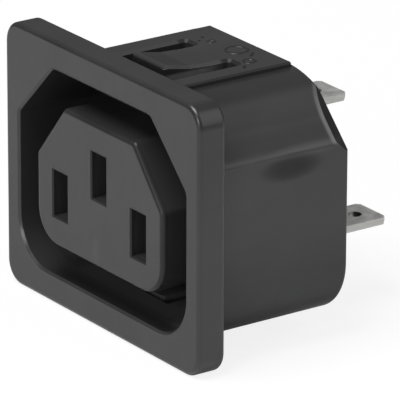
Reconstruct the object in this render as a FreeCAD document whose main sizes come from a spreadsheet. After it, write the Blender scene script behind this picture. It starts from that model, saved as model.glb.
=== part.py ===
import FreeCAD, Part
import math
import os

import Sketcher

# Snap-in panel power socket, in millimetres.
# X runs right as seen from the front, Y runs through the panel towards the tabs, Z runs up.
# The origin is the middle of the flange's rear face, which seats on the panel.

# Driving sizes: name, value and what it is
SIZES = [
    ("pin_pitch", 14.0, "line slot to neutral slot, centre to centre"),
    ("pin_rise", 2.0, "earth slot above and line and neutral slots below the middle"),
    ("slot_w", 2.6, "width of a slot"),
    ("slot_h", 5.0, "height of a slot"),
    ("slot_bevel", 0.15, "front edge of a slot"),
    ("island_w", 22.5, "width of the island"),
    ("island_h", 15.3, "height of the island"),
    ("island_roof", 1.55, "island's wall over and under the contacts"),
    ("island_cut_w", 5.0, "island's upper corner cut, across"),
    ("island_cut_h", 6.0, "island's upper corner cut, down"),
    ("island_r", 3.6, "island's lower corners"),
    ("island_top_r", 0.8, "island's corner cut, rounded ends"),
    ("island_proud", 0.2, "island's face in front of the flange's face"),
    ("front_wall", 2.2, "island's front wall"),
    ("moat_cut", 6.2, "moat's upper corner cut"),
    ("moat_r", 4.9, "moat's lower corners"),
    ("moat_top_r", 1.0, "moat's corner cut, rounded ends"),
    ("moat_depth", 15.0, "flange's face to the moat's floor"),
    ("shroud_side", 1.25, "shroud's side walls"),
    ("shroud_over", 1.25, "shroud's upper and lower walls"),
    ("shroud_floor", 1.8, "wall between the moat and the rear recess"),
    ("body_cut", 5.25, "shroud's upper corner cut"),
    ("shoulder_r", 12.5, "rounding from the top to the corner cut"),
    ("crease_r", 0.8, "rounding from the corner cut to the side"),
    ("bevel_len", 1.6, "rear bevel on the corner cut, along the depth"),
    ("bevel_in", 1.0, "rear bevel on the corner cut, inwards"),
    ("rear_r", 0.4, "shroud's rear edge"),
    ("flange_w", 34.6, "width of the flange"),
    ("flange_h", 28.5, "height of the flange"),
    ("flange_side", 1.15, "flange beyond the shroud, at each side"),
    ("flange_over", 1.5, "flange beyond the raised strips"),
    ("flange_t", 3.25, "thickness of the flange"),
    ("flange_r", 2.4, "flange's corners"),
    ("front_r", 0.5, "flange's front edge"),
    ("back_r", 0.5, "flange's rear edge"),
    ("mouth_bevel", 0.25, "moat's front edge"),
    ("face_r", 0.5, "island's front edge"),
    ("strip_w", 14.3, "width of the raised strip"),
    ("strip_rise", 0.45, "raised strip above the shroud"),
    ("strip_back", 0.7, "end of the raised strip to the shroud's rear rim"),
    ("strip_r", 0.2, "raised strip's edges"),
    ("tongue_w", 5.6, "width of the snap tongue"),
    ("tongue_gap", 1.95, "width of the slot on each side of the tongue"),
    ("tongue_front", 2.45, "panel gap between the flange and the tongue"),
    ("tongue_slit", 0.75, "slit in front of the tongue"),
    ("tongue_back", 1.25, "rear end of the tongue's slots to the moat's floor"),
    ("ramp_back", 2.1, "foot of the tongue's ramp to the rear end of its slots"),
    ("ramp_rise", 0.65, "height of the tongue's ramp"),
    ("ramp_knee", 0.15, "height of the ramp's shallow lower stretch"),
    ("ramp_land", 0.7, "level land at the top of the ramp"),
    ("ramp_r", 0.3, "tongue's front edge"),
    ("tongue_bevel", 0.3, "upper edges of the tongue and its slots"),
    ("slot_end_r", 0.5, "rear corners of the tongue's slots"),
    ("rim_wall", 1.5, "shroud's rear rim"),
    ("recess", 2.2, "depth of the rear recess"),
    ("cover_t", 1.6, "thickness of the rear cover"),
    ("cover_gap", 0.1, "clearance around the rear cover"),
    ("collar_rise", 0.5, "collar around a tab, above the cover"),
    ("collar_rim", 0.9, "width of the collar around a tab"),
    ("tab_w", 4.8, "width of a tab"),
    ("tab_t", 0.8, "thickness of a tab"),
    ("tab_out", 10.2, "end of a tab beyond the shroud's rear rim"),
    ("tab_corner", 0.7, "cut on a tab's end corners"),
    ("tab_bevel", 0.3, "bevel on a tab's end"),
    ("tab_hole", 1.4, "hole in a tab"),
    ("hole_back", 2.6, "hole to the end of the tab"),
    ("tab_gap", 0.12, "clearance of a tab in the rear cover"),
    ("base_w", 5.6, "width of a contact's base"),
    ("base_len", 7.95, "length of a contact's base"),
    ("fold_r", 0.6, "outer fold between the base and the leaves"),
    ("leaf_t", 0.5, "thickness of a spring leaf"),
    ("leaf_up", 2.2, "leaf above the middle of its slot"),
    ("leaf_gap", 1.6, "gap between the leaves where they grip"),
    ("leaf_mouth", 2.7, "gap between the leaves at their mouth"),
    ("leaf_back", 6.35, "straight rear stretch of a leaf"),
    ("leaf_lead", 3.3, "mouth of a leaf to its grip"),
    ("cavity_gap", 0.15, "clearance of a contact in its cavity"),
    ("overlap", 0.3, "how far an added form runs into the one below it"),
]

# Sizes that follow from the driving ones
FOLLOWING = [
    ("pin_x", "pin_pitch / 2"),
    ("slot_x", "slot_w / 2"),
    ("slot_near", "pin_x - slot_x"),
    ("slot_far", "pin_x + slot_x"),
    ("slot_low", "pin_rise - slot_h / 2"),
    ("slot_high", "pin_rise + slot_h / 2"),
    ("slot_deep", "front_wall + overlap"),
    ("flange_x", "flange_w / 2"),
    ("flange_z", "flange_h / 2"),
    ("wide", "2 * flange_w"),
    ("strip_z", "flange_z - flange_over"),
    ("body_x", "flange_x - flange_side"),
    ("body_z", "strip_z - strip_rise"),
    ("moat_x", "body_x - shroud_side"),
    ("moat_z", "body_z - shroud_over"),
    ("island_x", "island_w / 2"),
    ("island_z", "island_h / 2"),
    ("cavity_floor", "island_z - island_roof"),
    ("base_x", "base_w / 2"),
    ("base_under", "cavity_floor - pin_rise"),
    ("base_top", "base_under - tab_t"),
    ("base_drop", "base_under - tab_t / 2"),
    ("cavity_x", "base_x + cavity_gap"),
    ("cavity_near", "pin_x - cavity_x"),
    ("cavity_far", "pin_x + cavity_x"),
    ("cavity_lid", "leaf_up - pin_rise + cavity_gap"),
    ("island_cx", "island_x - island_cut_w"),
    ("island_cz", "island_z - island_cut_h"),
    ("island_ix", "island_x - island_r"),
    ("island_iz", "island_z - island_r"),
    ("face_y", "flange_t + island_proud"),
    ("moat_deep", "moat_depth + island_proud"),
    ("moat_cx", "moat_x - moat_cut"),
    ("moat_cz", "moat_z - moat_cut"),
    ("moat_ix", "moat_x - moat_r"),
    ("moat_iz", "moat_z - moat_r"),
    ("moat_y", "moat_depth - flange_t"),
    ("seat_y", "moat_y + shroud_floor"),
    ("body_depth", "seat_y + recess"),
    ("body_r", "moat_r + shroud_side"),
    ("body_cx", "body_x - body_cut"),
    ("body_cz", "body_z - body_cut"),
    ("cut_out", "(body_x + body_cz) / sqrt(2)"),
    ("cut_in", "cut_out - bevel_in"),
    ("cut_clear", "cut_out + body_cut"),
    ("bevel_y", "body_depth - bevel_len"),
    ("bevel_end", "body_depth + bevel_len"),
    ("strip_x", "strip_w / 2"),
    ("strip_low", "body_z - shroud_over / 2"),
    ("strip_len", "body_depth - strip_back"),
    ("seat", "0 * flange_t"),
    ("tongue_x", "tongue_w / 2"),
    ("tongue_out", "tongue_x + tongue_gap"),
    ("tongue_root", "moat_y - tongue_back"),
    ("slit_y", "tongue_front - tongue_slit"),
    ("ramp_start", "tongue_root - ramp_back"),
    ("ramp_z", "strip_z + ramp_rise"),
    ("ramp_low", "strip_z - overlap"),
    ("ramp_mid", "strip_z + ramp_knee"),
    ("ramp_mid_y", "(tongue_front + ramp_land + ramp_start) / 2"),
    ("ramp_land_y", "tongue_front + ramp_land"),
    ("cut_floor", "moat_z - overlap"),
    ("cut_height", "ramp_z - cut_floor + overlap"),
    ("recess_x", "body_x - rim_wall"),
    ("recess_z", "body_z - rim_wall"),
    ("recess_s", "(cut_in - rim_wall) * sqrt(2)"),
    ("recess_cx", "recess_s - recess_z"),
    ("recess_cz", "recess_s - recess_x"),
    ("recess_r", "body_r - rim_wall"),
    ("recess_ix", "recess_x - recess_r"),
    ("recess_iz", "recess_z - recess_r"),
    ("cover_x", "recess_x - cover_gap"),
    ("cover_z", "recess_z - cover_gap"),
    ("cover_s", "(cut_in - rim_wall - cover_gap) * sqrt(2)"),
    ("cover_cx", "cover_s - cover_z"),
    ("cover_cz", "cover_s - cover_x"),
    ("cover_r", "recess_r - cover_gap"),
    ("cover_ix", "cover_x - cover_r"),
    ("cover_iz", "cover_z - cover_r"),
    ("collar_t", "cover_t + collar_rise"),
    ("tab_x", "tab_w / 2"),
    ("tab_cx", "tab_x - tab_corner"),
    ("tab_reach", "body_depth + tab_out"),
    ("tab_cy", "tab_reach - tab_corner"),
    ("hole_y", "tab_reach - hole_back"),
    ("hole_r", "tab_hole / 2"),
    ("tab_mid", "pin_rise + base_drop"),
    ("tab_hx", "tab_x + tab_gap"),
    ("tab_hz", "tab_t / 2 + tab_gap"),
    ("pass_near", "pin_x - tab_hx"),
    ("pass_far", "pin_x + tab_hx"),
    ("pass_low", "tab_mid - tab_hz"),
    ("pass_high", "tab_mid + tab_hz"),
    ("collar_x", "tab_hx + collar_rim"),
    ("collar_near", "pin_x - collar_x"),
    ("collar_far", "pin_x + collar_x"),
    ("collar_low", "pass_low - collar_rim"),
    ("collar_high", "pass_high + collar_rim"),
    ("cavity_front", "face_y - front_wall"),
    ("cavity_len", "seat_y + cavity_front"),
    ("base_start", "seat_y - base_len"),
    ("leaf_foot", "base_top + overlap"),
    ("leaf_h", "leaf_foot + leaf_up"),
    ("leaf_in", "base_x - leaf_t"),
    ("leaf_knee", "seat_y - leaf_back"),
    ("leaf_tip", "cavity_front - cavity_gap"),
    ("leaf_grip", "leaf_lead - leaf_tip"),
    ("grip_x", "leaf_gap / 2"),
    ("grip_out", "grip_x + leaf_t"),
    ("mouth_x", "leaf_mouth / 2"),
    ("mouth_out", "mouth_x + leaf_t"),
]

doc = FreeCAD.newDocument("socket")
sheet = doc.addObject("Spreadsheet::Sheet", "Sizes")
row = 0
for alias, number, words in SIZES:
    row += 1
    sheet.set(f"A{row}", words)
    sheet.set(f"B{row}", str(number))
    sheet.setAlias(f"B{row}", alias)
for alias, formula in FOLLOWING:
    row += 1
    sheet.set(f"A{row}", "follows from the sizes above")
    sheet.set(f"B{row}", "=" + formula)
    sheet.setAlias(f"B{row}", alias)
doc.recompute()


def size(term):
    """The value of a sheet name, mirrored where the name has a minus in front."""
    if term.startswith("-"):
        return -float(sheet.get(term[1:]))
    return float(sheet.get(term))


def bound(term):
    """The same name as an expression."""
    if term.startswith("-"):
        return "-Sizes." + term[1:]
    return "Sizes." + term


def plane(body, role):
    return next(o for o in body.Origin.OriginFeatures if o.Role == role)


def sketch(body, name, role, lift=None, turn=0.0):
    """An empty sketch on one of the body's planes, lifted along its normal and turned."""
    made = body.newObject("Sketcher::SketchObject", name)
    made.AttachmentSupport = [(plane(body, role), "")]
    made.MapMode = "FlatFace"
    spin = FreeCAD.Rotation(FreeCAD.Vector(1, 0, 0), turn)
    made.AttachmentOffset = FreeCAD.Placement(FreeCAD.Vector(), spin)
    if lift:
        made.setExpression("AttachmentOffset.Base.z", bound(lift))
    return made


def hold(made, line, way, term):
    """Ties one coordinate of a line's start to the sheet."""
    now = size(term)
    if now > 0:
        tie = Sketcher.Constraint("Distance" + way, -1, 1, line, 1, now)
        words = bound(term)
    else:
        tie = Sketcher.Constraint("Distance" + way, line, 1, -1, 1, -now)
        words = "-(" + bound(term) + ")"
    index = made.addConstraint(tie)
    made.setExpression(f"Constraints[{index}]", words)


def arc(start, end, radius):
    """The arc that turns left from start to end."""
    way = end - start
    left = FreeCAD.Vector(-way.y, way.x, 0).normalize()
    away = math.sqrt(max(radius**2 - (way.Length / 2) ** 2, 0.0))
    middle = (start + end) * 0.5 + left * away
    angles = [math.atan2(p.y - middle.y, p.x - middle.x) for p in (start, end)]
    return Part.ArcOfCircle(Part.Circle(middle, FreeCAD.Vector(0, 0, 1), radius), *angles)


def loop(made, corners):
    """A closed run of lines between pairs of sheet names. A third name makes the next run an arc."""
    spots = [FreeCAD.Vector(size(c[0]), size(c[1]), 0) for c in corners]
    first = made.GeometryCount
    count = len(spots)
    for i, corner in enumerate(corners):
        start = spots[i]
        end = spots[(i + 1) % count]
        if len(corner) == 3:
            made.addGeometry(arc(start, end, size(corner[2])), False)
        else:
            made.addGeometry(Part.LineSegment(start, end), False)
    for i in range(count):
        made.addConstraint(Sketcher.Constraint("Coincident", first + i, 2, first + (i + 1) % count, 1))
    for i, corner in enumerate(corners):
        hold(made, first + i, "X", corner[0])
        hold(made, first + i, "Y", corner[1])
        if len(corner) == 3:
            index = made.addConstraint(Sketcher.Constraint("Radius", first + i, size(corner[2])))
            made.setExpression(f"Constraints[{index}]", bound(corner[2]))


def box(made, left, right, low, high):
    loop(made, [(left, low), (right, low), (right, high), (left, high)])


def pad(body, name, made, length, back=False, both=False):
    done = body.newObject("PartDesign::Pad", name)
    done.Profile = made
    done.setExpression("Length", bound(length))
    done.Reversed = back
    done.SideType = "Symmetric" if both else "One side"
    doc.recompute()
    return done


def pocket(body, name, made, length, back=False, both=False):
    """Takes a sketch out of the body, and stops if nothing came off."""
    before = body.Shape.Volume
    done = body.newObject("PartDesign::Pocket", name)
    done.Profile = made
    done.setExpression("Length", bound(length))
    done.Reversed = back
    done.SideType = "Symmetric" if both else "One side"
    doc.recompute()
    if body.Shape.Volume > before - 1e-6:
        raise RuntimeError(name + " cut nothing")
    return done


def near(a, b):
    return abs(a - b) < 1e-4


def dress(body, kind, name, radius, pick):
    """Rounds or bevels the edges of the body's last feature that pick() returns."""
    last = body.Tip
    wanted = pick(last.Shape)
    names = [f"Edge{i}" for i, e in enumerate(last.Shape.Edges, 1) if any(e.isSame(w) for w in wanted)]
    if not names:
        raise RuntimeError(name + " found no edge")
    done = body.newObject("PartDesign::" + kind, name)
    done.Base = (last, names)
    done.setExpression("Radius" if kind == "Fillet" else "Size", bound(radius))
    doc.recompute()
    return done


def straight(way, *corners):
    """Picks straight edges along one axis that pass through the given spots, each a pair of sheet names."""
    across = [axis for axis in "xyz" if axis != way]
    spots = [(size(a), size(b)) for a, b in corners]

    def pick(shape):
        found = []
        for edge in shape.Edges:
            ends = [v.Point for v in edge.Vertexes]
            if len(ends) != 2 or edge.Curve.TypeId != "Part::GeomLine":
                continue
            at = [[getattr(end, axis) for axis in across] for end in ends]
            for a, b in spots:
                if all(near(u, a) and near(v, b) for u, v in at):
                    found.append(edge)
        return found

    return pick


def fore_and_aft(x_term, z_term):
    """Picks straight edges at x on both sides that run rearwards, level or sloping, at z or beyond."""

    def pick(shape):
        found = []
        for edge in shape.Edges:
            ends = [v.Point for v in edge.Vertexes]
            if len(ends) != 2 or edge.Curve.TypeId != "Part::GeomLine" or near(ends[0].y, ends[1].y):
                continue
            out = all(abs(end.z) > size(z_term) or near(abs(end.z), size(z_term)) for end in ends)
            if out and all(near(abs(end.x), size(x_term)) for end in ends):
                found.append(edge)
        return found

    return pick


def level_faces(shape, way, level, outwards):
    """The flat faces at one level of an axis that face outwards along it, the largest first."""
    found = []
    for face in shape.Faces:
        box_now = face.BoundBox
        low = getattr(box_now, way.upper() + "Min")
        high = getattr(box_now, way.upper() + "Max")
        if near(low, level) and near(high, level) and face.Surface.TypeId == "Part::GeomPlane":
            if getattr(face.normalAt(0, 0), way) * outwards > 0.99:
                found.append(face)
    return sorted(found, key=lambda face: -face.OuterWire.Length)


def rim(level, outwards, rank=0, inner=False):
    """Picks the outer or the inner outline of a flat face that looks along Y."""

    def pick(shape):
        face = level_faces(shape, "y", size(level), outwards)[rank]
        if not inner:
            return face.OuterWire.Edges
        return [e for wire in face.Wires if not wire.isSame(face.OuterWire) for e in wire.Edges]

    return pick


def both_sides(x_term, z_term):
    """The same corner on the right and on the left."""
    return [(x_term, z_term), ("-" + x_term, z_term)]


def six_sided(made, x, z, cx, cz):
    """The outline with two upper corners cut off."""
    loop(
        made,
        [
            ("-" + x, "-" + z),
            (x, "-" + z),
            (x, cz),
            (cx, z),
            ("-" + cx, z),
            ("-" + x, cz),
        ],
    )


def rounded_six(made, x, z, cx, cz, ix, iz, r):
    """The same outline with its lower corners rounded."""
    loop(
        made,
        [
            (ix, "-" + z, r),
            (x, "-" + iz),
            (x, cz),
            (cx, z),
            ("-" + cx, z),
            ("-" + x, cz),
            ("-" + x, "-" + iz, r),
            ("-" + ix, "-" + z),
        ],
    )


def three_boxes(made, near_x, far_x, middle_x, low, high):
    """The same box for the earth contact, and turned over for the line and neutral contacts."""
    box(made, "-" + middle_x, middle_x, low, high)
    flip_low = high[1:] if high.startswith("-") else "-" + high
    flip_high = low[1:] if low.startswith("-") else "-" + low
    box(made, near_x, far_x, flip_low, flip_high)
    box(made, "-" + far_x, "-" + near_x, flip_low, flip_high)


# Housing: shroud
housing = doc.addObject("PartDesign::Body", "Housing")
housing.Label = "housing"
shroud = sketch(housing, "ShroudOutline", "XZ_Plane")
six_sided(shroud, "body_x", "body_z", "body_cx", "body_cz")
pad(housing, "Shroud", shroud, "body_depth", back=True)
dress(housing, "Fillet", "LowerCorners", "body_r", straight("y", *both_sides("body_x", "-body_z")))
dress(housing, "Fillet", "Shoulders", "shoulder_r", straight("y", *both_sides("body_cx", "body_z")))
dress(housing, "Fillet", "Creases", "crease_r", straight("y", *both_sides("body_x", "body_cz")))
dress(housing, "Fillet", "RearEdge", "rear_r", rim("body_depth", 1))

# Housing: rear bevels on the two corner cuts, each in a plane turned to face its cut
for side, turn in (("Right", 45.0), ("Left", -45.0)):
    bevel = sketch(housing, side + "BevelProfile", "YZ_Plane", turn=turn)
    loop(
        bevel,
        [
            ("bevel_y", "cut_out"),
            ("body_depth", "cut_in"),
            ("bevel_end", "cut_in"),
            ("bevel_end", "cut_clear"),
            ("bevel_y", "cut_clear"),
        ],
    )
    pocket(housing, side + "Bevel", bevel, "wide", both=True)

# Housing: flange
flange = sketch(housing, "FlangeOutline", "XZ_Plane")
box(flange, "-flange_x", "flange_x", "-flange_z", "flange_z")
pad(housing, "Flange", flange, "flange_t")
dress(
    housing,
    "Fillet",
    "FlangeCorners",
    "flange_r",
    straight("y", *both_sides("flange_x", "flange_z"), *both_sides("flange_x", "-flange_z")),
)

# Housing: raised strips over and under the shroud
for place, low, high in (("Upper", "strip_low", "strip_z"), ("Lower", "-strip_z", "-strip_low")):
    strip = sketch(housing, place + "StripOutline", "XZ_Plane")
    box(strip, "-strip_x", "strip_x", low, high)
    pad(housing, place + "Strip", strip, "strip_len", back=True)

# Housing: island's face, and the moat around the island
face = sketch(housing, "FaceOutline", "XZ_Plane", lift="flange_t")
rounded_six(face, "island_x", "island_z", "island_cx", "island_cz", "island_ix", "island_iz", "island_r")
pad(housing, "Face", face, "island_proud")
moat = sketch(housing, "MoatOutline", "XZ_Plane", lift="face_y")
rounded_six(moat, "moat_x", "moat_z", "moat_cx", "moat_cz", "moat_ix", "moat_iz", "moat_r")
rounded_six(moat, "island_x", "island_z", "island_cx", "island_cz", "island_ix", "island_iz", "island_r")
pocket(housing, "Moat", moat, "moat_deep")
dress(
    housing,
    "Fillet",
    "MoatUpperCorners",
    "moat_top_r",
    straight("y", *both_sides("moat_x", "moat_cz"), *both_sides("moat_cx", "moat_z")),
)
dress(
    housing,
    "Fillet",
    "IslandUpperCorners",
    "island_top_r",
    straight("y", *both_sides("island_x", "island_cz"), *both_sides("island_cx", "island_z")),
)

# Housing: slots for the plug's pins, and the contact cavities behind them
slots = sketch(housing, "SlotOutlines", "XZ_Plane", lift="face_y")
three_boxes(slots, "slot_near", "slot_far", "slot_x", "slot_low", "slot_high")
pocket(housing, "Slots", slots, "slot_deep")
rear = sketch(housing, "RecessOutline", "XZ_Plane", lift="-body_depth")
rounded_six(rear, "recess_x", "recess_z", "recess_cx", "recess_cz", "recess_ix", "recess_iz", "recess_r")
pocket(housing, "Recess", rear, "recess", back=True)
cavities = sketch(housing, "CavityOutlines", "XZ_Plane", lift="-seat_y")
three_boxes(cavities, "cavity_near", "cavity_far", "cavity_x", "-cavity_lid", "cavity_floor")
pocket(housing, "Cavities", cavities, "cavity_len", back=True)

# Housing: snap tongues, each freed by a cut on three sides and raised to a ramp
for place, sign in (("Upper", ""), ("Lower", "-")):
    ramp = sketch(housing, place + "RampProfile", "YZ_Plane")
    loop(
        ramp,
        [
            ("tongue_front", sign + "ramp_low"),
            ("tongue_front", sign + "ramp_z"),
            ("ramp_land_y", sign + "ramp_z"),
            ("ramp_mid_y", sign + "ramp_mid"),
            ("ramp_start", sign + "strip_z"),
            ("ramp_start", sign + "ramp_low"),
        ],
    )
    pad(housing, place + "Ramp", ramp, "tongue_w", both=True)
    freed = sketch(housing, place + "TongueOutline", "XY_Plane", lift=sign + "cut_floor")
    loop(
        freed,
        [
            ("-tongue_out", "slit_y"),
            ("tongue_out", "slit_y"),
            ("tongue_out", "tongue_root"),
            ("tongue_x", "tongue_root"),
            ("tongue_x", "tongue_front"),
            ("-tongue_x", "tongue_front"),
            ("-tongue_x", "tongue_root"),
            ("-tongue_out", "tongue_root"),
        ],
    )
    pocket(housing, place + "Tongue", freed, "cut_height", back=(sign == ""))

# Housing: softened edges
slot_ends = both_sides("tongue_x", "tongue_root") + both_sides("tongue_out", "tongue_root")
strip_edges = both_sides("strip_x", "strip_z") + both_sides("strip_x", "-strip_z")
ramp_fronts = [("tongue_front", "ramp_z"), ("tongue_front", "-ramp_z")]
dress(housing, "Fillet", "SlotEnds", "slot_end_r", straight("z", *slot_ends))
dress(housing, "Fillet", "StripEdges", "strip_r", straight("y", *strip_edges))
dress(housing, "Fillet", "RampFronts", "ramp_r", straight("x", *ramp_fronts))
dress(housing, "Chamfer", "TongueEdges", "tongue_bevel", fore_and_aft("tongue_x", "strip_z"))
dress(housing, "Fillet", "FrontEdge", "front_r", rim("-flange_t", -1))
dress(housing, "Fillet", "BackEdge", "back_r", rim("seat", 1))
dress(housing, "Chamfer", "MouthEdge", "mouth_bevel", rim("-flange_t", -1, inner=True))
dress(housing, "Fillet", "FaceEdge", "face_r", rim("-face_y", -1))
dress(housing, "Chamfer", "SlotEdges", "slot_bevel", rim("-face_y", -1, inner=True))
housing.Placement = FreeCAD.Placement()

# Rear cover
cover = doc.addObject("PartDesign::Body", "RearCover")
cover.Label = "rear_cover"
plate = sketch(cover, "PlateOutline", "XZ_Plane", lift="-seat_y")
rounded_six(plate, "cover_x", "cover_z", "cover_cx", "cover_cz", "cover_ix", "cover_iz", "cover_r")
pad(cover, "Plate", plate, "cover_t", back=True)
collars = sketch(cover, "CollarOutlines", "XZ_Plane", lift="-seat_y")
three_boxes(collars, "collar_near", "collar_far", "collar_x", "collar_low", "collar_high")
pad(cover, "Collars", collars, "collar_t", back=True)
passes = sketch(cover, "PassOutlines", "XZ_Plane", lift="-seat_y")
three_boxes(passes, "pass_near", "pass_far", "tab_hx", "pass_low", "pass_high")
pocket(cover, "Passes", passes, "collar_t")
cover.Placement = FreeCAD.Placement()


def contact(name, label, across, up, turned):
    """One folded strip: a base with two spring leaves and a tab, made about the middle of its slot."""
    body = doc.addObject("PartDesign::Body", name)
    body.Label = label
    flat = sketch(body, name + "Flat", "XY_Plane", lift="-base_under")
    loop(
        flat,
        [
            ("-base_x", "base_start"),
            ("base_x", "base_start"),
            ("base_x", "seat_y"),
            ("tab_x", "seat_y"),
            ("tab_x", "tab_cy"),
            ("tab_cx", "tab_reach"),
            ("-tab_cx", "tab_reach"),
            ("-tab_x", "tab_cy"),
            ("-tab_x", "seat_y"),
            ("-base_x", "seat_y"),
        ],
    )
    pad(body, name + "Sheet", flat, "tab_t")
    dress(
        body,
        "Chamfer",
        name + "EndBevel",
        "tab_bevel",
        straight("x", ("tab_reach", "-base_under"), ("tab_reach", "-base_top")),
    )
    leaves = sketch(body, name + "Leaves", "XY_Plane", lift="-leaf_foot")
    for m in ("", "-"):
        loop(
            leaves,
            [
                (m + "base_x", "seat_y"),
                (m + "base_x", "leaf_knee"),
                (m + "grip_out", "leaf_grip"),
                (m + "mouth_out", "-leaf_tip"),
                (m + "mouth_x", "-leaf_tip"),
                (m + "grip_x", "leaf_grip"),
                (m + "leaf_in", "leaf_knee"),
                (m + "leaf_in", "seat_y"),
            ],
        )
    pad(body, name + "Folded", leaves, "leaf_h")
    dress(
        body,
        "Fillet",
        name + "Fold",
        "fold_r",
        straight("y", *both_sides("base_x", "-base_under")),
    )
    hole = sketch(body, name + "HoleOutline", "XY_Plane", lift="-base_under")
    spot = FreeCAD.Vector(0, size("hole_y"), 0)
    hole.addGeometry(Part.Circle(spot, FreeCAD.Vector(0, 0, 1), size("hole_r")), False)
    hole.addConstraint(Sketcher.Constraint("PointOnObject", 0, 3, -2))
    index = hole.addConstraint(Sketcher.Constraint("DistanceY", -1, 1, 0, 3, size("hole_y")))
    hole.setExpression(f"Constraints[{index}]", bound("hole_y"))
    index = hole.addConstraint(Sketcher.Constraint("Radius", 0, size("hole_r")))
    hole.setExpression(f"Constraints[{index}]", bound("hole_r"))
    pocket(body, name + "Hole", hole, "tab_t", back=True)
    spin = FreeCAD.Rotation(FreeCAD.Vector(0, 1, 0), 180.0 if turned else 0.0)
    body.Placement = FreeCAD.Placement(FreeCAD.Vector(), spin)
    if across:
        body.setExpression("Placement.Base.x", bound(across))
    body.setExpression("Placement.Base.z", bound(up))
    return body


# Contacts: the earth contact is the same strip turned over
line = contact("LineContact", "line_contact", "-pin_x", "-pin_rise", False)
neutral = contact("NeutralContact", "neutral_contact", "pin_x", "-pin_rise", False)
earth = contact("EarthContact", "earth_contact", None, "pin_rise", True)

doc.recompute()
for thing in doc.Objects:
    bad = [word for word in thing.State if word in ("Invalid", "Error")]
    if bad:
        raise RuntimeError(thing.Name + " is " + ", ".join(bad))

os.makedirs("parts", exist_ok=True)
for body in (housing, cover, line, neutral, earth):
    shape = body.Shape
    if shape.isNull() or not shape.isValid():
        raise RuntimeError(body.Label + " has no valid shape")
    shape.exportStep(os.path.join("parts", body.Label + ".step"))
    print(body.Label, len(shape.Solids), "solid", round(shape.Volume, 2), "mm3", shape.BoundBox)
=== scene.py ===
# %% [markdown]
# # A snap-in panel power socket
#
# The socket is pushed through a cut-out in a metal panel until two sprung tongues snap out behind it.
# Its shapes are real sizes, so they come from the imported CAD model, which Blender loads and never moves.
# This lesson gives that model its finishes, its light and its camera. The box of the CAD model is kept here,
# because later cells take the paper's height, the front and the tips of the tabs from it.

# %% The imported model
import math

import bpy
from mathutils import Euler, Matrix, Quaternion, Vector


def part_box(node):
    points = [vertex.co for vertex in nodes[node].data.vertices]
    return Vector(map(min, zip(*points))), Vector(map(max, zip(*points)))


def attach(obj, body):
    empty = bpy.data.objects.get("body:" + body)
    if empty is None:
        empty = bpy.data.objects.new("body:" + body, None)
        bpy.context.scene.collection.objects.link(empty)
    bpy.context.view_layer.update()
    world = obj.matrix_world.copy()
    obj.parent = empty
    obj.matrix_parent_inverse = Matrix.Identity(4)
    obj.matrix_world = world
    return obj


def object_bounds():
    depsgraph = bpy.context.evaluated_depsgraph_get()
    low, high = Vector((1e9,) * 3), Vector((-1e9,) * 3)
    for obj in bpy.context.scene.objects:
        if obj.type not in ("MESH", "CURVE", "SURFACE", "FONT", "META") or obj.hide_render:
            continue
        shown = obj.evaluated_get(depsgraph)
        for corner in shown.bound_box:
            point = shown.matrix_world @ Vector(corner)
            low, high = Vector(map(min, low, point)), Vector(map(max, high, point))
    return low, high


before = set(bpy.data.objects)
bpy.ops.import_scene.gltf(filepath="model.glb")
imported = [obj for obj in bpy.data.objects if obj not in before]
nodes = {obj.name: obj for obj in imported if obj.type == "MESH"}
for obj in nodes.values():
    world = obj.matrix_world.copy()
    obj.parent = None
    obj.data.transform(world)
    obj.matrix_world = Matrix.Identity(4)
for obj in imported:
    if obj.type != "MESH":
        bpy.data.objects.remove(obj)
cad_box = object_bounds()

MM = 0.001
for name in sorted(nodes):
    print("node", name, "with", len(nodes[name].data.polygons), "faces")

# %% [markdown]
# ## The camera
#
# The picture was taken with a long lens from the right, a little above the socket. A lens is easiest to
# describe as a focal length in picture widths, because then it holds for any sensor. The camera could be
# dragged into place by eye, but an aim point, two angles, a distance and a slight roll say the same in
# numbers that can be read and corrected one at a time.

# %% The camera
PICTURE = 400
FOCAL_PIXELS = 5143
SENSOR = 36.0
AIM = Vector((5.18, 5.35, -0.54)) * MM
DISTANCE = 516 * MM
AZIMUTH = math.radians(54.95)
ELEVATION = math.radians(20.30)
ROLL = math.radians(0.195)
NEAREST = 10 * MM

scene = bpy.context.scene
turn = Euler((math.pi / 2 - ELEVATION, 0, AZIMUTH)).to_quaternion() @ Quaternion((0, 0, 1), ROLL)
camera = bpy.data.objects.new("camera", bpy.data.cameras.new("camera"))
scene.collection.objects.link(camera)
camera.data.sensor_width = SENSOR
camera.data.lens = SENSOR * FOCAL_PIXELS / PICTURE
camera.data.clip_start = NEAREST
camera.rotation_euler = turn.to_euler()
camera.location = AIM + turn @ Vector((0, 0, DISTANCE))
scene.camera = camera
camera_mm = [round(value / MM, 1) for value in camera.location]
print("camera at", camera_mm, "mm, lens", round(camera.data.lens, 1))

# %% [markdown]
# ## Writing shaders as sums
#
# Every finish below is a network of nodes. Adding nodes and links by hand takes four lines for each sum,
# which hides the idea. This class holds one output socket and lets it be added, subtracted and multiplied
# like a number: each operation adds a Math node. One method makes every other kind of node. Its settings
# are set first, because some of them change which sockets the node has.


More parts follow.
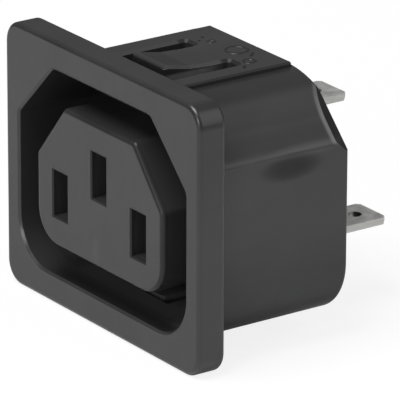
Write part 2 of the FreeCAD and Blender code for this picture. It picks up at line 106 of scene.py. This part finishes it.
# %% A socket that can be reckoned with
class Wire:
    """An output socket of a node tree, or the bare tree where no socket is given."""

    def __init__(self, tree, socket=None):
        self.tree = tree
        self.socket = socket

    def node(self, kind, settings=None, sockets=None, out=0):
        made = self.tree.nodes.new(kind)
        for name, value in (settings or {}).items():
            setattr(made, name, value)
        for name, value in (sockets or {}).items():
            if isinstance(value, Wire):
                self.tree.links.new(value.socket, made.inputs[name])
            else:
                made.inputs[name].default_value = value
        return Wire(self.tree, made.outputs[out] if made.outputs else None)

    def maths(self, operation, *terms):
        return self.node("ShaderNodeMath", {"operation": operation}, dict(enumerate(terms)))

    def __add__(self, other):
        return self.maths("ADD", self, other)

    def __radd__(self, other):
        return self.maths("ADD", other, self)

    def __sub__(self, other):
        return self.maths("SUBTRACT", self, other)

    def __rsub__(self, other):
        return self.maths("SUBTRACT", other, self)

    def __mul__(self, other):
        return self.maths("MULTIPLY", self, other)

    def __rmul__(self, other):
        return self.maths("MULTIPLY", other, self)

    def __abs__(self):
        return self.maths("ABSOLUTE", self)


def new_finish(name):
    """A material with no nodes yet, and the bare tree to build them in."""
    finish = bpy.data.materials.new(name)
    finish.use_nodes = True
    finish.node_tree.nodes.clear()
    return finish, Wire(finish.node_tree)


print("sockets can now be added, subtracted and multiplied")

# %% [markdown]
# ## Places, patches and grains
#
# The finishes need to know where on the socket they are, in millimetres, because a moulded grain has a
# real size. Texture coordinates of the object give that place, and no image or unwrapped map is needed.
# The small helpers here make a soft step between two values, a distance, a soft oval patch, a cloudy grain,
# a blend of colours and a blend of shaders.


# %% Helpers for the finishes
def place_in_mm(tree):
    """The point on the surface in millimetres: the whole vector, then its three parts."""
    raw = tree.node("ShaderNodeTexCoord", out="Object")
    scaled = tree.node("ShaderNodeVectorMath", {"operation": "SCALE"}, {0: raw, "Scale": 1 / MM})
    parts = [tree.node("ShaderNodeSeparateXYZ", {}, {0: scaled}, out=axis) for axis in range(3)]
    return scaled, *parts


def soft_step(value, none, full):
    """0 at the first place and beyond it, 1 at the second and beyond it, and a smooth change between."""
    settings = {"interpolation_type": "SMOOTHSTEP"}
    if none < full:
        ends = {1: none, 2: full, 3: 0.0, 4: 1.0}
    else:
        ends = {1: full, 2: none, 3: 1.0, 4: 0.0}
    return value.node("ShaderNodeMapRange", settings, {0: value, **ends})


def distance(across, along):
    """How far a point lies from the place where both values are 0."""
    return across.maths("SQRT", across * across + along * along)


def oval(across, along, middle, half):
    """1 in the middle of an oval patch, fading to 0 at its rim."""
    wide = (across - middle[0]) * (1 / half[0])
    tall = (along - middle[1]) * (1 / half[1])
    return soft_step(wide * wide + tall * tall, 1.0, 0.0)


def cloud(place, per_mm, detail, stretch=(1, 1, 1)):
    """Cloudy grain from 0 to 1 with so many grains per millimetre along each axis."""
    sized = place.node("ShaderNodeVectorMath", {"operation": "MULTIPLY"}, {0: place, 1: stretch})
    return place.node("ShaderNodeTexNoise", {}, {"Vector": sized, "Scale": per_mm, "Detail": detail})


def blend(share, first, second):
    """The first colour where share is 0 and the second where it is 1."""
    settings = {"data_type": "RGBA", "clamp_factor": True}
    return share.node("ShaderNodeMix", settings, {0: share, 6: first, 7: second}, out=2)


def blend_shaders(share, first, second):
    """The first shader where share is 0 and the second where it is 1."""
    return share.node("ShaderNodeMixShader", {}, {0: share, 1: first, 2: second})


def relief(height):
    """Turns a height in millimetres into a bent normal."""
    return height.node("ShaderNodeBump", {}, {"Strength": 1.0, "Distance": MM, "Height": height})


print("helpers ready")

# %% [markdown]
# ## Paper and light
#
# The socket was photographed on white. A white world alone could be the background, but it takes no shadow.
# A sheet of paper under the socket does two jobs: it is the background, and the black plastic mirrors it,
# which is most of the light that comes back from the front and the side. A part of what the camera and the
# reflections see of the paper glows by itself, so that it stays white while the rest still takes the
# socket's shadow. Further out the paper is plain white to the camera. To the reflections it is painted dark
# grey there, a painted shade that stands for the unlit room beyond the lamps. It lies a hair below the
# socket, so that no two faces coincide.

# %% White paper
WHITE = (1, 1, 1, 1)
PAPER_HALF = 1500 * MM
PAPER_GAP = 0.02 * MM
PAPER_NEAR = (0.87, 0.87, 0.87, 1)
# Painted shade: far out the paper is dark grey, which the reflections show as an unlit room.
PAPER_FAR_SHADE = (0.22, 0.22, 0.22, 1)
PAPER_FADE = (215, 115)
PAPER_MIDDLE = (-40, 10)
PAPER_GLOW = 0.85
MIRROR_GLOW = 0.06
RAYS = ("Is Camera Ray", "Is Glossy Ray", "Is Transmission Ray")

paper_z = cad_box[0][2] - PAPER_GAP
paper_mesh = bpy.data.meshes.new("paper")
corner_signs = ((-1, -1), (1, -1), (1, 1), (-1, 1))
paper_corners = [(x * PAPER_HALF, y * PAPER_HALF, paper_z) for x, y in corner_signs]
paper_mesh.from_pydata(paper_corners, [], [(0, 1, 2, 3)])
paper = bpy.data.objects.new("paper", paper_mesh)
scene.collection.objects.link(paper)

paper_finish, tree = new_finish("paper")
_, x, y, _ = place_in_mm(tree)
near = soft_step(distance(x - PAPER_MIDDLE[0], y - PAPER_MIDDLE[1]), *PAPER_FADE)
seen, mirrored, through = [tree.node("ShaderNodeLightPath", out=kind) for kind in RAYS]
glow = seen * (1 - near * (1 - PAPER_GLOW)) + near * MIRROR_GLOW * (mirrored + through)
far_paper, near_paper = [
    tree.node("ShaderNodeBsdfDiffuse", {}, {"Color": shade}) for shade in (PAPER_FAR_SHADE, PAPER_NEAR)
]
light = tree.node("ShaderNodeEmission", {}, {"Color": WHITE, "Strength": 1})
sheet = blend_shaders(glow, blend_shaders(near, far_paper, near_paper), light)
tree.node("ShaderNodeOutputMaterial", {}, {"Surface": sheet})
paper_mesh.materials.append(paper_finish)
print("paper lies at", round(paper_z / MM, 2), "mm")

# %% [markdown]
# The room around is dim, and darkest near the horizon. The top of the socket mirrors the room at a low
# angle, which is why it looks darker than the front. The camera sees white in place of the room, and the
# reflections get a small share of that white. A picture of a studio could light the scene too, but three
# plain shades are easier to balance.

# %% A dim room
ROOM_LOW = (0.01, 0.01, 0.01, 1)
ROOM_HIGH = (0.22, 0.22, 0.22, 1)
ROOM_FADE = (0.0, 0.4)
ROOM_GLOW = 0.04

scene.view_settings.view_transform = "Standard"
scene.world = bpy.data.worlds.new("dim_room")
scene.world.use_nodes = True
scene.world.node_tree.nodes.clear()
tree = Wire(scene.world.node_tree)
outward = tree.node("ShaderNodeTexCoord", out="Generated")
height = tree.node("ShaderNodeSeparateXYZ", {}, {0: outward}, out=2)
low_room, high_room, white_room = [
    tree.node("ShaderNodeBackground", {}, {"Color": shade, "Strength": 1})
    for shade in (ROOM_LOW, ROOM_HIGH, WHITE)
]
seen, mirrored, through = [tree.node("ShaderNodeLightPath", out=kind) for kind in RAYS]
air = blend_shaders(soft_step(height, *ROOM_FADE), low_room, high_room)
room = blend_shaders(seen + ROOM_GLOW * (mirrored + through), air, white_room)
tree.node("ShaderNodeOutputWorld", {}, {"Surface": room})
print("room has", len(scene.world.node_tree.nodes), "nodes")

# %% [markdown]
# Three soft lamps do the rest. Point lamps would leave small hard highlights, so each lamp is a wide panel,
# turned to the socket's middle. The first hangs above and a little in front, and the rounded edges catch
# it. The second stands behind on the right: the corner cut and the crease below it mirror that lamp. The
# third is low in front: it lights the trough around the island, and the flange's near corner mirrors it.
# The rows below give a lamp's place, its width and height and its watts.

# %% Three soft lamps
LAMPS = (
    ("top_lamp", Vector((0, -220, 560)) * MM, 340 * MM, 340 * MM, 3.7),
    ("side_lamp", Vector((385, 345, 285)) * MM, 500 * MM, 600 * MM, 1.1),
    ("front_lamp", Vector((290, -560, 225)) * MM, 160 * MM, 280 * MM, 1.4),
)

for name, spot, wide, tall, watts in LAMPS:
    lamp = bpy.data.objects.new(name, bpy.data.lights.new(name, "AREA"))
    lamp.data.shape = "RECTANGLE"
    lamp.data.size = wide
    lamp.data.size_y = tall
    lamp.data.energy = watts
    lamp.location = spot
    lamp.rotation_euler = spot.to_track_quat("Z", "Y").to_euler()
    scene.collection.objects.link(lamp)
    print(name, round(spot.length / MM), "mm from the socket's middle")

# %% [markdown]
# ## The black moulding
#
# The housing is moulded in black plastic. Up close its faces carry the fine pitted grain of the mould, the
# skin waves slightly, and the gloss drifts where the plastic flowed. A single dark colour would look like
# paint, so each thing that happened to the plastic is a mask of its own, in the cells that follow. A mask
# is a product of soft steps. Each step has a pair of values: it is 0 at the first and 1 at the second. Most
# are places in millimetres: x across, y from the flange to the tabs and z up. Others are parts of the
# direction that a face looks in, or values of a grain.

# %% The grain of the moulding
BLACK = (0.018, 0.018, 0.0185, 1)
WORN_BLACK = (0.024, 0.024, 0.024, 1)
PITS_PER_MM = 7.0
PITS_DETAIL = 2.0
SKIN_PER_MM = 0.45
SKIN_DETAIL = 1.0
FLOW_PER_MM = 0.16
FLOW_DETAIL = 3.0
FLOW_STRETCH = (1, 0.5, 1)
WORN_FLOW = (0.35, 0.75)
BEHIND_FLANGE = (0.0, 0.2)

housing_finish, tree = new_finish("housing_plastic")
place, x, y, z = place_in_mm(tree)
side = abs(x)
behind = soft_step(y, *BEHIND_FLANGE)
aim = tree.node("ShaderNodeNewGeometry", out="True Normal")
back, up = [tree.node("ShaderNodeSeparateXYZ", {}, {0: aim}, out=axis) for axis in (1, 2)]
pits = cloud(place, PITS_PER_MM, PITS_DETAIL)
skin = cloud(place, SKIN_PER_MM, SKIN_DETAIL)
flow = cloud(place, FLOW_PER_MM, FLOW_DETAIL, FLOW_STRETCH)
colour = blend(soft_step(flow, *WORN_FLOW), BLACK, WORN_BLACK)
print("three grains, from", round(1 / PITS_PER_MM, 2), "to", round(1 / FLOW_PER_MM, 2), "mm")

# %% [markdown]
# Plastic enters the mould through a small gate. Here it left a paler patch on the island, below the middle
# slot. It could be painted on an image, but an oval mask needs only a middle and two half widths. The mask
# stops a hair behind the front, which is the front of the CAD model's box.

# %% The gate mark
GATE_GREY = (0.034, 0.034, 0.034, 1)
GATE_MIDDLE = (-0.5, -5.9)
GATE_HALF = (0.9, 1.9)
GATE_DEPTH = (0.15, 0.05)
GATE_SHARE = 0.8

front_y = cad_box[0][1] / MM
on_face = soft_step(y, *[front_y + depth for depth in GATE_DEPTH])
gate = oval(x, z, GATE_MIDDLE, GATE_HALF) * on_face
colour = blend(gate * GATE_SHARE, colour, GATE_GREY)
print("gate mark on the face at", round(front_y, 2), "mm")

# %% [markdown]
# A trough runs around the island, and the rim of the plug goes into it. Its walls carry painted light: they
# are painted a little paler than the outside. The rear part of its lower wall is painted paler still, with a
# speckle, while the lower wall at the mouth carries painted shade and is darker than the black outside. Its
# faces could have a material of their own, but a mask can fade along them. The trough's outline is a box
# with two upper corners cut off and two lower corners rounded. The distance from a smaller, sharp box tells
# what lies inside the roundings.

# %% Painted light and shade in the trough
TROUGH_PAINTED_LIGHT = (0.026, 0.026, 0.026, 1)
MOUTH_PAINTED_SHADE = (0.013, 0.013, 0.013, 1)
PAINTED_LIGHT_GREY = (0.1, 0.1, 0.1, 1)
SPECKLE_LEAST = 0.4
TROUGH_BOX = (10.0, -6.15)
TROUGH_ROUND = (5.5, 5.4)
TROUGH_TOP = (11.2, 11.1)
TROUGH_CUT = (20.6, 20.5)
TROUGH_FRONT = (-3.1, -2.9)
TROUGH_REAR = (13.0, 12.8)
LOW_TOP = (-8.6, -9.1)
LOW_LEFT = (-11.0, -7.5)
LIT_FLOOR_ALONG = (-1.9, 0.5)

out = x.maths("MAXIMUM", side - TROUGH_BOX[0], 0.0)
down = x.maths("MAXIMUM", TROUGH_BOX[1] - z, 0.0)
trough = soft_step(distance(out, down), *TROUGH_ROUND)
trough = trough * soft_step(z, *TROUGH_TOP) * soft_step(side + z, *TROUGH_CUT)
trough = trough * soft_step(y, *TROUGH_FRONT) * soft_step(y, *TROUGH_REAR)
low = trough * soft_step(z, *LOW_TOP) * soft_step(x, *LOW_LEFT)
lit_floor = low * soft_step(y, *LIT_FLOOR_ALONG)
speckle = SPECKLE_LEAST + pits
# Painted light on the trough walls, painted shade at the mouth, and speckled painted light on the rest of
# the lower wall.
colour = blend(trough, colour, TROUGH_PAINTED_LIGHT)
colour = blend(low - lit_floor, colour, MOUTH_PAINTED_SHADE)
colour = blend(lit_floor * speckle, colour, PAINTED_LIGHT_GREY)
print("trough between", TROUGH_FRONT[0], "and", TROUGH_REAR[0], "mm")

# %% [markdown]
# The upper snap tongue stands between two slots. Its sides are painted paler with a speckle: painted light,
# standing for the light that falls into the slots. It is strongest near the nose and fades out towards the
# root.

# %% Painted light beside the tongue
TONGUE_SIDE = (3.2, 3.0)
TONGUE_LOW = (11.1, 11.3)
TONGUE_TOP = (12.6, 12.2)
TONGUE_NOSE = (2.5, 2.8)
TONGUE_ROOT = (10.6, 7.0)

painted_light = soft_step(side, *TONGUE_SIDE) * soft_step(z, *TONGUE_LOW) * soft_step(z, *TONGUE_TOP)
painted_light = painted_light * soft_step(y, *TONGUE_NOSE) * soft_step(y, *TONGUE_ROOT)
# Painted light: the tongue's sides are painted paler, with a speckle.
colour = blend(painted_light * speckle, colour, PAINTED_LIGHT_GREY)
print("dust on the tongue from", TONGUE_NOSE[0], "to", TONGUE_ROOT[0], "mm")

# %% [markdown]
# On each side the rounded shoulder meets the flat wall in a crease. It carries a painted highlight, a paler
# tone that is strongest in an oval towards the rear and runs thinly along its foot. The upper shoulder, here
# called the brow, has painted light too: it is painted a little paler. A brighter lamp could give that tone,
# but it would light the other faces as well, so the tone is painted into the plastic.

# %% The painted highlight on the crease and shoulder
CREASE_PAINTED_HIGHLIGHT = (0.034, 0.034, 0.034, 1)
CREASE_MIDDLE = (11.0, 7.0)
CREASE_HALF = (6.5, 0.8)
CREASE_OUT = (14.9, 15.2)
FOOT_Z = 6.8
FOOT_FADE = (0.24, 0.0)
FOOT_REAR = (14.15, 13.15)
BROW_PAINTED_LIGHT = (0.036, 0.036, 0.036, 1)
BROW_LOW = (9.0, 10.3)
BROW_HIGH = (11.6, 10.9)
BROW_OUT = (9.3, 10.2)
NOT_REARWARD = (0.3, 0.1)
SHEEN_LEAST = 0.6
SHEEN_FLOW = 0.6

on_crease = soft_step(side, *CREASE_OUT)
crease = oval(y, z, CREASE_MIDDLE, CREASE_HALF) * on_crease
foot = soft_step(abs(z - FOOT_Z), *FOOT_FADE) * on_crease * behind * soft_step(y, *FOOT_REAR)
brow = soft_step(z, *BROW_LOW) * soft_step(z, *BROW_HIGH) * soft_step(side, *BROW_OUT)
brow = brow * behind * soft_step(back, *NOT_REARWARD) * (1 - trough)
painted_sheen = SHEEN_LEAST + flow * SHEEN_FLOW
# Painted highlight along the crease and its foot, and painted light on the brow.
colour = blend(crease * painted_sheen + foot, colour, CREASE_PAINTED_HIGHLIGHT)
colour = blend(brow * painted_sheen, colour, BROW_PAINTED_LIGHT)
print("crease rubbed over", 2 * CREASE_HALF[0], "mm")

# %% [markdown]
# Behind, a flat bevel cuts the shoulder off, and the edge between them carries a painted highlight, a pale
# line. The edge could be picked by hand, but the bevel is a plane, so a weighted sum of the three
# coordinates tells how far under it a point lies, measured across the corner. A narrow band of that depth is
# the painted highlight. The bevel itself looks backwards, and that leaves it out.

# %% The painted highlight on the rear edge
EDGE_PAINTED_HIGHLIGHT = (0.13, 0.13, 0.13, 1)
BEVEL_START = 14.15
BEVEL_SLOPE = 0.625
BEVEL_OUT = 23.2
EDGE_BAND = (-0.4, -0.15)
EDGE_LOW = (6.6, 7.1)
EDGE_HIGH = (13.0, 9.0)
EDGE_LEAST = 0.5
EDGE_SKIN = 0.7

rise = (side + z - BEVEL_OUT) * math.sqrt(0.5) + (y - BEVEL_START) * BEVEL_SLOPE
edge = soft_step(rise, *EDGE_BAND) * soft_step(back, *NOT_REARWARD)
edge = edge * soft_step(z, *EDGE_LOW) * soft_step(z, *EDGE_HIGH)
# Painted highlight: a pale line along the rear edge.
colour = blend(edge * (EDGE_LEAST + skin * EDGE_SKIN), colour, EDGE_PAINTED_HIGHLIGHT)
print("worn edge down to", -EDGE_BAND[0], "mm under the bevel")

# %% [markdown]
# Other masks change the shine. Under the crease on each side the wall has sunk a little, as it does over a
# thick rib, and the skin is dull there. The shoulder just above the crease, here called the hip, the lower
# walls, the underside and the rear bevel are duller too. Each could have a material of its own, but soft
# masks leave no seams. They are added up, each with its own weight.

# %% Dull walls
SINK_MIDDLE = (8.6, 5.6)
SINK_HALF = (4.4, 1.6)
SINK_OUT = (15.8, 15.9)
SINK_DULL = 0.8
HIP_LOW = (7.1, 7.7)
HIP_HIGH = (9.5, 8.4)
HIP_OUT = (12.6, 13.2)
HIP_DULL = 0.5
LOWER_WALL = (1.0, -10.0)
LOWER_DULL = 0.5
DOWNWARD = (-0.3, -0.8)
UNDER_DULL = 0.4
REARWARD = (0.15, 0.45)
BEVEL_FROM = (10.0, 11.0)
BEVEL_DULL = 0.85

sink = oval(y, z, SINK_MIDDLE, SINK_HALF) * soft_step(side, *SINK_OUT)
hip = soft_step(z, *HIP_LOW) * soft_step(z, *HIP_HIGH) * soft_step(side, *HIP_OUT) * behind
lower = soft_step(z, *LOWER_WALL) * behind
under = soft_step(up, *DOWNWARD) * behind * (1 - trough)
bevel = soft_step(back, *REARWARD) * soft_step(y, *BEVEL_FROM) * (1 - lower)
share = sink * SINK_DULL + hip * HIP_DULL + lower * LOWER_DULL + under * UNDER_DULL + bevel * BEVEL_DULL
print("dull walls: sink, hip, lower wall, underside and bevel")

# %% [markdown]
# The mould left the front and the trough matt. The island's rounded edge would catch the lamps in a hard
# line, which the real one hardly shows. Softer lamps could hide it, but they would soften every other edge
# too, so this edge is dull instead. It is what lies on the front part of the island and doesn't look
# straight ahead.

# %% Dull front
FORWARD = (-0.9, -0.97)
FRONT_DULL = 0.25
ISLAND_WIDE = (11.5, 11.4)
ISLAND_TALL = (8.3, 8.2)
ISLAND_FRONT = (-2.7, -2.9)
ISLAND_EDGE = (-0.99, -0.93)
ISLAND_DULL = 0.7
TROUGH_DULL = 0.6

front = soft_step(back, *FORWARD)
island = soft_step(side, *ISLAND_WIDE) * soft_step(abs(z), *ISLAND_TALL)
island = island * soft_step(y, *ISLAND_FRONT) * soft_step(back, *ISLAND_EDGE)
share = share + front * FRONT_DULL + island * ISLAND_DULL + trough * TROUGH_DULL
print("dull front: face, island's edge and trough")

# %% [markdown]
# The raised strips have small edges that would sparkle: the round ends of the slots beside the tongue, the
# step down to the shoulder, and the raised marks behind the tongue. They could be smoothed in the model, but
# its shapes come from the CAD, so each gets a mask that makes it dull.

# %% Dull edges on the strips
END_FRONT = (9.5, 9.8)
END_REAR = (11.3, 11.0)
END_SIDE = (5.4, 5.2)
END_LOW = (10.8, 11.1)
END_STEEP = (0.95, 0.85)
END_DULL = 0.95
STEP_X = 7.05
STEP_FADE = (0.25, 0.15)
STEP_TOP = (12.2, 12.35)
STEP_DULL = 0.8
MARK_TOP = (12.76, 12.78)
MARK_FROM = (10.0, 10.3)
MARK_DULL = 0.85

slot_ends = soft_step(y, *END_FRONT) * soft_step(y, *END_REAR) * soft_step(side, *END_SIDE)
slot_ends = slot_ends * soft_step(z, *END_LOW) * soft_step(up, *END_STEEP)
strip_step = soft_step(abs(side - STEP_X), *STEP_FADE) * soft_step(abs(z), *STEP_TOP) * behind
marked = soft_step(z, *MARK_TOP) * soft_step(y, *MARK_FROM)
share = share + slot_ends * END_DULL + strip_step * STEP_DULL + marked * MARK_DULL
print("dull edges: slot ends, strip steps and marks")

# %% [markdown]
# Now the plastic itself. Dull plastic is a second shader that mirrors less, because its index of refraction
# is lower, and the sum of the masks is its share. Roughness alone would only spread the reflections of the
# white paper and leave them as bright. Both shaders share the colour, the roughness and the relief.

# %% Glossy and dull plastic
PLASTIC_IOR = 1.5
DULL_IOR = 1.18
ROUGH = 0.24
ROUGH_FLOW = 0.1
ROUGH_PITS = 0.04
ROUGH_TONGUE_SIDE = 0.3
PITS_DEEP = 0.003
SKIN_DEEP = 0.02
SINK_DEEP = 0.04

sockets = {
    "Base Color": colour,
    "Roughness": ROUGH + flow * ROUGH_FLOW + pits * ROUGH_PITS + painted_light * ROUGH_TONGUE_SIDE,
    "Normal": relief(pits * PITS_DEEP + skin * SKIN_DEEP - sink * SINK_DEEP),
}
glossy, dull = [
    tree.node("ShaderNodeBsdfPrincipled", {}, {**sockets, "IOR": index})
    for index in (PLASTIC_IOR, DULL_IOR)
]
tree.node("ShaderNodeOutputMaterial", {}, {"Surface": blend_shaders(share, glossy, dull)})
nodes["housing"].material_slots[0].material = housing_finish
print("housing finish has", len(housing_finish.node_tree.nodes), "nodes")

# %% [markdown]
# ## The rear cover
#
# The plate behind comes from another mould, so it is a shade darker and rougher. Pins that push it out of
# the mould leave four round marks on it. They could be cut into the model, but they are only a hair deep,
# so dips in the relief are enough.

# %% The rear cover
COVER_BLACK = (0.016, 0.016, 0.0165, 1)
COVER_PALE = (0.024, 0.024, 0.024, 1)
COVER_FLOW_PER_MM = 0.2
COVER_ROUGH = 0.3
COVER_ROUGH_FLOW = 0.14
COVER_ROUGH_PITS = 0.05
PIN_PLACES = ((-11.4, -6.0), (11.4, -6.0), (-8.6, 5.2), (8.6, 5.2))
PIN_FADE = (1.2, 1.1)
PIN_DEEP = 0.03

cover_finish, tree = new_finish("cover_plastic")
place, x, _, z = place_in_mm(tree)
pits = cloud(place, PITS_PER_MM, PITS_DETAIL)
flow = cloud(place, COVER_FLOW_PER_MM, FLOW_DETAIL)
pins = 0.0
for pin_x, pin_z in PIN_PLACES:
    pins = pins + soft_step(distance(x - pin_x, z - pin_z), *PIN_FADE)
sockets = {
    "Base Color": blend(soft_step(flow, *WORN_FLOW), COVER_BLACK, COVER_PALE),
    "Roughness": COVER_ROUGH + flow * COVER_ROUGH_FLOW + pits * COVER_ROUGH_PITS,
    "IOR": PLASTIC_IOR,
    "Normal": relief(pits * PITS_DEEP + flow * SKIN_DEEP - pins * PIN_DEEP),
}
plastic = tree.node("ShaderNodeBsdfPrincipled", {}, sockets)
tree.node("ShaderNodeOutputMaterial", {}, {"Surface": plastic})
nodes["rear_cover"].material_slots[0].material = cover_finish
print("cover finish has", len(cover_finish.node_tree.nodes), "nodes")

# %% [markdown]
# ## Tinned contacts
#
# The contacts are stamped from brass strip that was tinned first. Tin is a dull silver: a metal with a wide
# soft shine. Rolling leaves fine lines along the strip, and the tin is cloudy. A scratched image could give
# such lines, but noise stretched along the strip does it without one. The faces that look sideways, across
# the strip's thickness, are painted a darker, slightly warmer tone. This is partly the bare brass where the
# punch cut through, and partly painted shade that dims these faces.

# %% Rolled and cut tin
TIN = (0.66, 0.66, 0.645, 1)
DULL_TIN = (0.48, 0.48, 0.47, 1)
CUT_BRASS_AND_SHADE = (0.46, 0.455, 0.43, 1)
ROLLED_PER_MM = 9.0
ROLLED_DETAIL = 3.0
ROLLED_STRETCH = (1, 0.04, 1)
HAZE_PER_MM = 0.9
HAZE_DETAIL = 4.0
HAZE_FADE = (0.3, 0.7)
FINE_PER_MM = 14.0
FINE_DETAIL = 2.0
TAB_FROM = (12, 13)
CUT_FACING = (0.5, 0.2)
CUT_LEAST = 0.4
CUT_ROLLED = 0.8

contact_finish, tree = new_finish("tinned_brass")
place, x, y, z = place_in_mm(tree)
rolled = cloud(place, ROLLED_PER_MM, ROLLED_DETAIL, ROLLED_STRETCH)
haze = cloud(place, HAZE_PER_MM, HAZE_DETAIL)
fine = cloud(place, FINE_PER_MM, FINE_DETAIL)
aim = tree.node("ShaderNodeNewGeometry", out="True Normal")
upward = tree.node("ShaderNodeSeparateXYZ", {}, {0: aim}, out=2)
on_tab = soft_step(y, *TAB_FROM)
cut_and_shade = soft_step(abs(upward), *CUT_FACING) * on_tab
colour = blend(soft_step(haze, *HAZE_FADE), DULL_TIN, TIN)
# Partly bare brass and partly painted shade on the faces that look sideways.
colour = blend(cut_and_shade * (CUT_LEAST + rolled * CUT_ROLLED), colour, CUT_BRASS_AND_SHADE)
print("tin grain has", len(contact_finish.node_tree.nodes), "nodes")

# %% [markdown]
# One half of each hole in the two lower tabs carries painted shade: it is painted dark where the hole's wall
# lies in shadow. The tin is darker along the rims. A mask for each tab would say the same three times. The
# tabs stand side by side at equal steps, so folding the place across them twice gives the distance from the
# nearest tab's middle. The step between them and the tip of the tabs come from the CAD model.

# %% Painted shade in the holes and darker rims on the tabs
HOLE_PAINTED_SHADE = (0.05, 0.05, 0.05, 1)
HOLE_TO_TIP = 2.6
HOLE_FADE = (0.82, 0.73)
SHADE_TOWARDS = (0.55, 0.84)
SHADE_FADE = (-0.3, 0.1)
SHADE_LEVEL = (2.0, 1.0)
RIM_FADE = (2.1, 2.35)
RIM_SHARE = 0.5
TIN_ROUGH = 0.46
TIN_ROUGH_HAZE = 0.12
TIN_ROUGH_ROLLED = 0.08
ROLLED_DEEP = 0.003
FINE_DEEP = 0.0015

tab_low, tab_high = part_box("neutral_contact")
tab_step = (tab_low[0] + tab_high[0]) / 2 / MM
hole_y = cad_box[1][1] / MM - HOLE_TO_TIP
aside = abs(abs(x) - tab_step / 2) - tab_step / 2
onward = y - hole_y
hole_shade = soft_step(distance(aside, onward), *HOLE_FADE) * soft_step(z, *SHADE_LEVEL)
hole_shade = hole_shade * soft_step(aside * SHADE_TOWARDS[0] + onward * SHADE_TOWARDS[1], *SHADE_FADE)
rim = soft_step(abs(aside), *RIM_FADE) * on_tab
colour = blend(rim * RIM_SHARE * haze, colour, DULL_TIN)
# Painted shade in one half of each hole in the lower tabs.
colour = blend(hole_shade, colour, HOLE_PAINTED_SHADE)
sockets = {
    "Base Color": colour,
    "Metallic": 1.0,
    "Roughness": TIN_ROUGH + haze * TIN_ROUGH_HAZE + rolled * TIN_ROUGH_ROLLED,
    "Normal": relief(rolled * ROLLED_DEEP + fine * FINE_DEEP),
}
metal = tree.node("ShaderNodeBsdfPrincipled", {}, sockets)
tree.node("ShaderNodeOutputMaterial", {}, {"Surface": metal})
for name in ("line_contact", "neutral_contact", "earth_contact"):
    nodes[name].material_slots[0].material = contact_finish
print("tabs", round(tab_step, 3), "mm apart, holes at", round(hole_y, 3), "mm")

# %% [markdown]
# ## Moulded marks
#
# The rear of the upper strip carries small raised marks from the mould. Here they are plain: three rings,
# two bars and two dots. They could be solids, but a curve with a round section draws such strokes with few
# numbers. It lies more than half sunk in the strip, so that only a low rounded back shows. A ring is a
# middle and a radius, a bar is its two ends, and a dot is a very short bar.

# %% Moulded marks
STRIP_TOP = 12.75
STROKE = 0.2
STROKE_STEPS = 3
PROUD = 0.08
RINGS = ((0.95, 12.75, 1.15), (4.5, 11.8, 0.6), (-2.7, 12.2, 0.4))
BARS = (((2.6, 13.6), (3.3, 12.9)), ((5.4, 10.6), (5.9, 10.2)))
DOTS = ((-3.6, 11.3), (-4.3, 12.2))
DOT_HALF = 0.12
KNOTS = 24

marks_curve = bpy.data.curves.new("strip_marks", "CURVE")
marks_curve.dimensions = "3D"
marks_curve.bevel_depth = STROKE * MM
marks_curve.bevel_resolution = STROKE_STEPS
marks_curve.use_fill_caps = True
level = STRIP_TOP + PROUD - STROKE


def stroke(points, closed):
    """One raised stroke through these places on the strip, in millimetres."""
    spline = marks_curve.splines.new("POLY")
    spline.points.add(len(points) - 1)
    for knot, (across, along) in zip(spline.points, points):
        knot.co = (across * MM, along * MM, level * MM, 1)
    spline.use_cyclic_u = closed


angles = [2 * math.pi * knot / KNOTS for knot in range(KNOTS)]
for mid_x, mid_y, radius in RINGS:
    stroke([(mid_x + radius * math.cos(angle), mid_y + radius * math.sin(angle)) for angle in angles], True)
for bar in BARS:
    stroke(bar, False)
for mid_x, mid_y in DOTS:
    stroke([(mid_x - DOT_HALF, mid_y), (mid_x + DOT_HALF, mid_y)], False)
marks = bpy.data.objects.new("strip_marks", marks_curve)
scene.collection.objects.link(marks)
marks_curve.materials.append(housing_finish)
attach(marks, "root")
print("marks:", len(marks_curve.splines), "strokes,", PROUD, "mm high")
